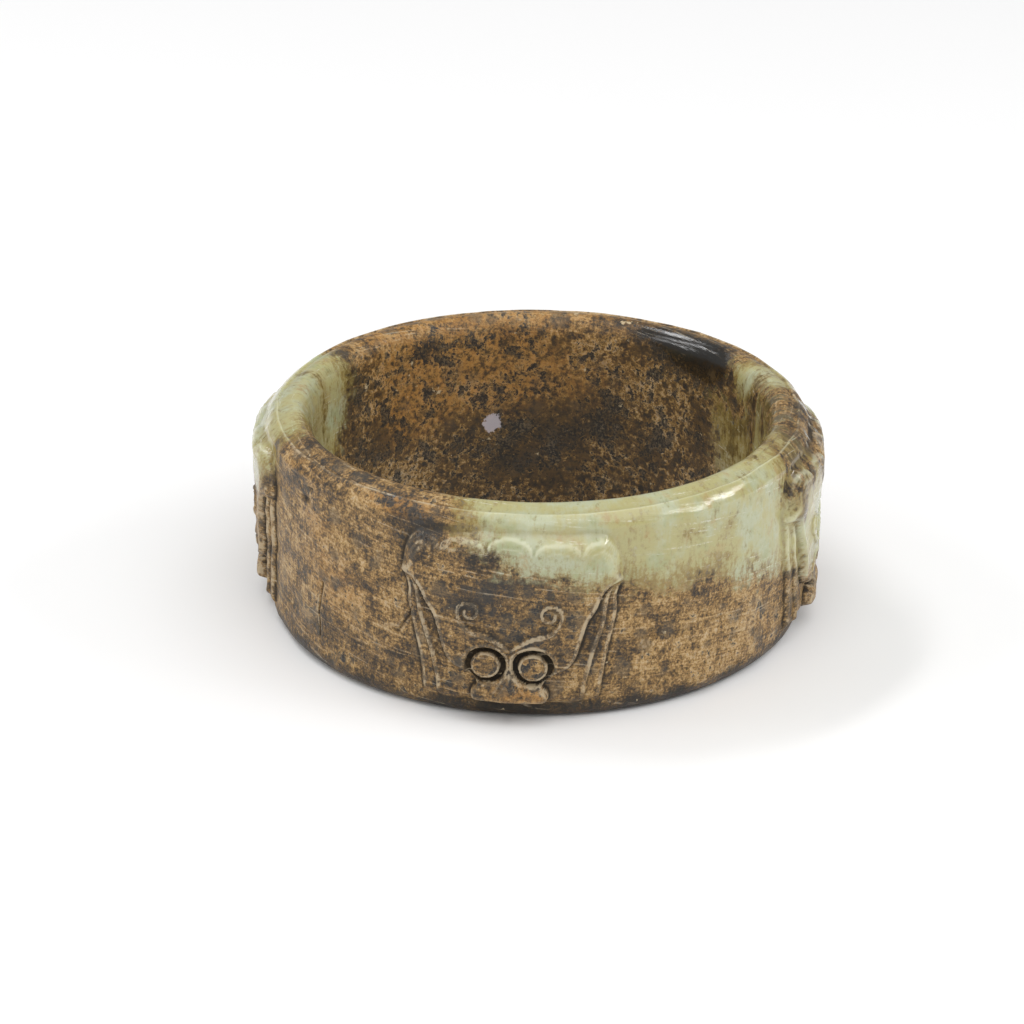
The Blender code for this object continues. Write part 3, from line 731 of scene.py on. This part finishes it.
class Nodes:
    """The nodes of one material."""

    def __init__(self, name):
        self.material = bpy.data.materials.new(name)
        self.material.use_nodes = True
        self.tree = self.material.node_tree
        self.tree.nodes.clear()

    def add(self, kind, settings=None, inputs=None, output=0):
        """Adds a node: its settings are set first, then the values or links of its sockets."""
        node = self.tree.nodes.new(kind)
        for key, value in (settings or {}).items():
            if key == "stops":
                self.set_stops(node.color_ramp, value)
            else:
                setattr(node, key, value)
        for key, value in (inputs or {}).items():
            if isinstance(value, Signal):
                self.tree.links.new(value.socket, node.inputs[key])
            else:
                node.inputs[key].default_value = value
        return Signal(self, node.outputs[output]) if len(node.outputs) else None

    def set_stops(self, ramp, stops):
        while len(ramp.elements) < len(stops):
            ramp.elements.new(0.5)
        for element, (place, colour) in zip(ramp.elements, stops):
            element.position = place
            element.color = colour

    def noise(self, vector, size, detail, roughness):
        """Noise around 0.5 whose largest features are about this many metres across."""
        return self.add("ShaderNodeTexNoise", {"noise_dimensions": "3D"},
                        {"Vector": vector, "Scale": 1 / size, "Detail": detail, "Roughness": roughness})

    def stretch(self, vector, factors):
        return self.add("ShaderNodeVectorMath", {"operation": "MULTIPLY"}, {0: vector, 1: factors})

    def mix(self, low, high, factor):
        """Colour low where the factor is 0 and high where it is 1."""
        return self.add("ShaderNodeMix", {"data_type": "RGBA"}, {0: factor, 6: low, 7: high}, 2)

    def turned(self, vector, angle, factors):
        """A map turned by an angle and then stretched."""
        return self.stretch(self.add("ShaderNodeVectorRotate", {"rotation_type": "Z_AXIS"},
                                     {"Vector": vector, "Angle": angle}), factors)

    def spots(self, place, spacing, wander):
        """Round spots of different sizes, one to a cell, with wavering edges."""
        shift = self.add("ShaderNodeTexNoise", None, {"Vector": place, "Scale": 1 / wander, "Detail": 2.0}, 1)
        shift = self.add("ShaderNodeVectorMath", {"operation": "SUBTRACT"}, {0: shift, 1: (0.5, 0.5, 0.5)})
        shift = self.add("ShaderNodeVectorMath", {"operation": "SCALE"}, {0: shift, "Scale": wander})
        moved = self.add("ShaderNodeVectorMath", {"operation": "ADD"}, {0: place, 1: shift})
        out = self.add("ShaderNodeTexVoronoi", None, {"Vector": moved, "Scale": 1 / spacing}, "Distance")
        chance = Signal(self, out.socket.node.outputs["Color"])
        size = self.add("ShaderNodeSeparateColor", None, {"Color": chance})
        return (size * 0.62 - out).over(-0.02, 0.26)

    def attribute(self, name):
        return self.add("ShaderNodeAttribute", {"attribute_name": name}, output="Fac")


def stone_patterns(n):
    """Patterns around 0 in the stone and over its surface, and the attributes of the mesh."""
    p = SimpleNamespace(place=n.add("ShaderNodeTexCoord", output="Object"))
    surface = n.add("ShaderNodeUVMap", {"uv_map": "surface"})
    for name in ("pale", "crest", "groove", "inner", "foot", "darker", "warmer", "banded", "stained",
                 "crusted", "bruised"):
        setattr(p, name, n.attribute(name))
    p.drift, p.patch, p.fine, p.grain, p.speck = (
        n.noise(p.place, *pattern) - 0.5 for pattern in (DRIFT, PATCH, FINE, GRAIN, SPECK))
    p.fibre = n.noise(n.stretch(surface, (1, 0.20, 1)), *FIBRE) - 0.5
    p.band = n.noise(n.stretch(surface, (1, 0.30, 1)), *BAND) - 0.5
    p.scratch = n.noise(n.turned(surface, 0.12, (0.03, 1, 1)), *SCRATCH) - 0.5
    return p


def skin_colour(n, p, colours):
    """Brown skin by tone, then its warm zones, spots, dark patches, painted shade and grime in grooves and at
    the foot, worn edges with painted highlights, whitish scratches with painted glints, and flakes.
    """
    # The foot term darkens the lowest part of the outer wall: painted shade.
    tone = (p.patch * 1.3 + p.fine * 1.1 + p.grain * 0.9 + p.speck * 1.4 + p.fibre * 0.5 + p.scratch * 0.6
            + (p.patch * 2.8 + p.fine * 2.8 + p.grain * 2.0 - 0.03) * p.inner + 0.558
            - p.darker * 0.55 - p.foot * 0.26 + p.banded * p.band * 1.2)
    skin = n.add("ShaderNodeValToRGB", {"stops": (
        (0.10, SKIN_BLACK), (0.34, SKIN_DEEP), (0.54, colours.brown), (0.74, colours.tan),
        (0.98, SKIN_PALE))}, {"Fac": tone})
    warm = (p.drift * 0.8 + p.patch * 0.6 + p.warmer).over(0.15, 0.9) * (p.grain + 0.5).over(0.38, 0.60)
    skin = n.mix(skin, colours.ochre, warm * (p.inner * 0.25 + 0.6))
    skin = n.mix(skin, BORE_BROWN, p.inner * (p.fine * 1.5 + 0.22))
    spots = n.spots(p.place, 0.0030, 0.0012)
    skin = n.mix(skin, SKIN_SPOT, spots * (0.50 - p.inner * 0.25))
    mottle = (p.drift * 0.4 + p.patch * 1.0 + p.fine * 1.5 + p.speck * 0.3 + p.darker * 0.55
              + (p.patch * 1.0 + p.fine + p.grain * 0.4 + 0.08) * p.inner)
    black = n.mix(colours.dark, BORE_BLACK, p.inner * 0.8)
    skin = n.mix(skin, black, mottle.over(0.15, 0.30) * (p.speck * 1.6 + p.grain * 1.0 + 0.90).least(1.0))
    # Painted shade with some grime: darker in creases, hollows, the drilled eye rings and at the foot.
    shade_and_grime = p.groove + p.foot * (1.0 + p.fine * 5.0)
    skin = n.mix(skin, SKIN_SHADE_AND_GRIME, shade_and_grime.over(0.2, 2.2) * 0.90)
    # Lighter on raised edges and along the bead: worn edges, partly painted highlight.
    bare = (p.grain + p.fine + p.patch + 0.5).over(0.42, 0.62) * 0.70 + 0.12
    skin = n.mix(skin, SKIN_EDGE_WEAR_AND_HIGHLIGHT, p.crest.over(0.15, 0.8) * bare)
    # Whitish scratch lines, partly painted glints.
    broken = (p.fine + 0.5 - p.inner * 0.3).over(0.40, 0.60)
    skin = n.mix(skin, SKIN_SCRATCH_AND_GLINT, p.scratch.over(0.10, 0.18) * broken * 0.50)
    flake = n.noise(p.place, *FLAKE) + p.crusted * 0.18
    skin = n.mix(skin, colours.crust, flake.over(0.680, 0.692) * 0.9)
    return n.mix(skin, SKIN_BRUISE, (p.bruised + p.grain + p.fine * 0.6).over(0.45, 0.55) * 0.85)


def jade_colour(n, p, colours, border):
    """Pale stone in soft clouds, then its stain near the border, painted shade and grime in grooves, worn
    edges with painted highlights, and whitish scratches with painted glints.
    """
    whitish = p.drift * 1.4 + p.patch * 0.9 + p.fibre * 0.4
    jade = n.mix(colours.pale, colours.cloud, whitish.over(-0.12, 0.18))
    jade = n.mix(jade, JADE_GREEN, (n.noise(p.place, *GREEN_CLOUD) + p.fibre * 0.3).over(0.52, 0.70) * 0.6)
    jade = n.mix(jade, JADE_TAN, (n.noise(p.place, *TAN_CLOUD) + p.fibre * 0.3).over(0.54, 0.72) * 0.6)
    soaked = (border + p.drift * 8 + p.fibre * 7 + p.grain * 6).over(4.0, -0.6)
    soaked = soaked.most((p.stained * 0.8 + p.banded * 0.45 + p.patch * 1.2 + p.fine * 2.0
                          + p.fibre * 1.2 + p.grain * 0.8).over(0.15, 1.0))
    jade = n.mix(jade, colours.stain, soaked * 0.85)
    deep = (p.stained * 0.4 + p.banded * 0.25 + p.fine * 1.8 + p.patch + p.fibre).over(0.25, 0.8)
    jade = n.mix(jade, JADE_SOAKED, deep * soaked * 0.8)
    # Painted shade with some grime in grooves and the drilled eye rings.
    jade = n.mix(jade, JADE_GROOVE_SHADE_AND_GRIME, p.groove.over(0.3, 2.5) * 0.25)
    # Lighter on raised edges and along the bead: worn edges, partly painted highlight.
    jade = n.mix(jade, JADE_EDGE_WEAR_AND_HIGHLIGHT, p.crest.over(0.2, 1.2) * 0.5)
    # Whitish scratch lines, partly painted glints.
    jade = n.mix(jade, JADE_SCRATCH_AND_GLINT, p.scratch.over(0.11, 0.17) * (p.grain + 0.5).over(0.44, 0.60) * 0.55)
    cloudy = p.fine * 1.2 + p.grain * 1.2 + p.speck * 0.6 + p.fibre * 0.5
    jade = n.mix(jade, JADE_SHADE, cloudy.over(0.10, 0.50) * 0.5)
    return n.mix(jade, JADE_LIGHT, cloudy.over(-0.08, -0.45) * 0.45)


def jade_material(colours):
    """Polished jade: pale stone and brown, altered skin, mixed along a ragged, stained border."""
    n = Nodes("mottled jade")
    p = stone_patterns(n)
    inside = (p.pale * 1000).least(5.0) + p.banded * (p.band * 32.0 - 4.0)
    border = inside + p.patch * 8.0 + p.fine * 9.0 + p.fibre * 1.6 + p.grain * 4.0 - p.stained * 0.6

    polish = p.darker.over(0.25, 0.60)
    skin_height = ((p.grain * 0.00016 + p.speck * 0.00010) * (1.0 - polish * 0.9)
                   + p.scratch * (1.0 - polish * 0.6) * 0.00005)
    jade_height = p.scratch * 0.00004 + p.speck * 0.00001 + p.patch * 0.00006
    skin_normal, jade_normal = (
        n.add("ShaderNodeBump", None, {"Strength": 1.0, "Distance": 1.0, "Height": height})
        for height in (skin_height, jade_height))

    skin_shader = n.add("ShaderNodeBsdfPrincipled", None, {
        "Base Color": skin_colour(n, p, colours), "Specular IOR Level": 0.44, "Normal": skin_normal,
        "Roughness": (p.grain * 0.5 + p.groove * 0.2 + 0.42 - polish * 0.29).most(0.12)})
    jade_shader = n.add("ShaderNodeBsdfPrincipled", {"subsurface_method": "RANDOM_WALK"}, {
        "Base Color": jade_colour(n, p, colours, border), "Roughness": p.scratch * 0.5 + 0.15, "IOR": 1.58,
        "Subsurface Weight": 0.5, "Subsurface Radius": (1.0, 0.95, 0.6), "Subsurface Scale": 0.0022,
        "Normal": jade_normal})
    both = n.add("ShaderNodeMixShader", None, {0: border.over(-1.6, 1.8), 1: skin_shader, 2: jade_shader})
    n.add("ShaderNodeOutputMaterial", None, {"Surface": both})
    return n.material


class OBJECT_OT_carved_ring(bpy.types.Operator):
    """Adds the carved ring in place of its plain solid"""
    bl_idname = "object.carved_ring"
    bl_label = "Add Carved Ring"
    bl_options = {"REGISTER", "UNDO"}

    def execute(self, context):
        sizes = context.scene.ring_sizes
        points, widths, girth, degrees, finish = ring_surface(sizes)
        length = math.tau * sizes.wall_radius
        mesh = grid_mesh("carved_ring", points, widths, girth, length)
        degrees, over = degrees.reshape(-1), girth.reshape(-1)
        pale = np.maximum(patch_depth(PALE_FRONT, degrees, over, sizes.wall_radius),
                          patch_depth(PALE_LEFT, degrees, over, sizes.wall_radius))
        finish["pale"] = pale
        for name, spots in (("darker", DARKER), ("warmer", WARMER), ("banded", BANDED), ("stained", STAINED),
                            ("crusted", CRUSTED), ("bruised", BRUISED)):
            finish[name] = zones(spots, degrees, over)
        for name, values in finish.items():
            layer = mesh.attributes.new(name, "FLOAT", "POINT")
            layer.data.foreach_set("value", values.reshape(-1).astype(np.float32))
        mesh.materials.append(jade_material(context.scene.ring_colours))
        ring = bpy.data.objects.new("carved_ring", mesh)
        context.scene.collection.objects.link(ring)
        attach(ring, BODY)
        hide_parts(CAD_NODE)
        return {"FINISHED"}


def add_light(name, place, size, watts):
    """A rectangular soft box at a place, aimed at the ring."""
    lamp = bpy.data.lights.new(name, "AREA")
    lamp.shape = "RECTANGLE"
    lamp.size, lamp.size_y = size
    lamp.energy = watts
    light = bpy.data.objects.new(name, lamp)
    light.location = place
    light.rotation_euler = (Vector(MIDDLE) - Vector(place)).to_track_quat("-Z", "Y").to_euler()
    bpy.context.scene.collection.objects.link(light)


def add_camera():
    """The photograph's view: aimed at the underside's middle, then turned until that falls in its place."""
    lens = bpy.data.cameras.new("camera")
    lens.sensor_width = 36.0
    lens.lens = VIEW_FOCUS / PHOTO_SIZE * lens.sensor_width
    lens.clip_end = 20
    camera = bpy.data.objects.new("camera", lens)
    turn, rise, roll = (math.radians(angle) for angle in (VIEW_TURN, VIEW_HEIGHT, VIEW_ROLL))
    right, down = RING_AT[0] - PHOTO_SIZE / 2, RING_AT[1] - PHOTO_SIZE / 2
    yaw = math.atan((right * math.cos(roll) + down * math.sin(roll)) / VIEW_FOCUS)
    pitch = math.atan((down * math.cos(roll) - right * math.sin(roll)) / VIEW_FOCUS)
    facing = (Matrix.Rotation(turn, 4, "Z") @ Matrix.Rotation(math.pi / 2 - rise, 4, "X")
              @ Matrix.Rotation(yaw, 4, "Y") @ Matrix.Rotation(pitch, 4, "X") @ Matrix.Rotation(roll, 4, "Z"))
    place = Vector((math.sin(turn) * math.cos(rise), -math.cos(turn) * math.cos(rise), math.sin(rise)))
    camera.matrix_world = Matrix.Translation(place * VIEW_DISTANCE) @ facing
    bpy.context.scene.collection.objects.link(camera)
    bpy.context.scene.camera = camera


def add_floor():
    """A plain white sweep under the ring."""
    mesh = bpy.data.meshes.new("floor")
    corners = [(-FLOOR_SIDE, -FLOOR_SIDE, 0), (FLOOR_SIDE, -FLOOR_SIDE, 0),
               (FLOOR_SIDE, FLOOR_SIDE, 0), (-FLOOR_SIDE, FLOOR_SIDE, 0)]
    mesh.from_pydata(corners, [], [(0, 1, 2, 3)])
    n = Nodes("white floor")
    shader = n.add("ShaderNodeBsdfPrincipled", None, {
        "Base Color": FLOOR_WHITE, "Roughness": 0.7, "Specular IOR Level": 0.2})
    n.add("ShaderNodeOutputMaterial", None, {"Surface": shader})
    mesh.materials.append(n.material)
    floor = bpy.data.objects.new("floor", mesh)
    bpy.context.scene.collection.objects.link(floor)


class OBJECT_OT_ring_stage(bpy.types.Operator):
    """Adds a white floor, soft studio lights and the camera"""
    bl_idname = "object.ring_stage"
    bl_label = "Add Stage"
    bl_options = {"REGISTER", "UNDO"}

    def execute(self, context):
        add_floor()
        add_camera()
        for light in LIGHTS:
            add_light(*light)
        world = bpy.data.worlds.new("studio")
        context.scene.world = world
        world.use_nodes = True
        sky = world.node_tree.nodes["Background"]
        sky.inputs["Color"].default_value = (1, 1, 1, 1)
        sky.inputs["Strength"].default_value = SKY_STRENGTH
        context.scene.view_settings.view_transform = "Standard"
        return {"FINISHED"}


class VIEW3D_PT_jade_ring(bpy.types.Panel):
    """Sizes, colours and buttons of the jade ring"""
    bl_label = "Jade Ring"
    bl_idname = "VIEW3D_PT_jade_ring"
    bl_space_type = "VIEW_3D"
    bl_region_type = "UI"
    bl_category = "Jade Ring"

    def draw(self, context):
        layout = self.layout
        for group in (context.scene.ring_sizes, context.scene.ring_colours):
            box = layout.box()
            for name in group.bl_rna.properties.keys():
                if name not in {"rna_type", "name"}:
                    box.prop(group, name)
        layout.operator(OBJECT_OT_carved_ring.bl_idname)
        layout.operator(OBJECT_OT_ring_stage.bl_idname)


CLASSES = (RingSizes, RingColours, OBJECT_OT_carved_ring, OBJECT_OT_ring_stage, VIEW3D_PT_jade_ring)


def register():
    for cls in CLASSES:
        bpy.utils.register_class(cls)
    bpy.types.Scene.ring_sizes = PointerProperty(type=RingSizes)
    bpy.types.Scene.ring_colours = PointerProperty(type=RingColours)


def unregister():
    del bpy.types.Scene.ring_colours
    del bpy.types.Scene.ring_sizes
    for cls in reversed(CLASSES):
        bpy.utils.unregister_class(cls)


def main():
    register()
    bpy.ops.object.carved_ring()
    bpy.ops.object.ring_stage()


if __name__ == "__main__":
    main()
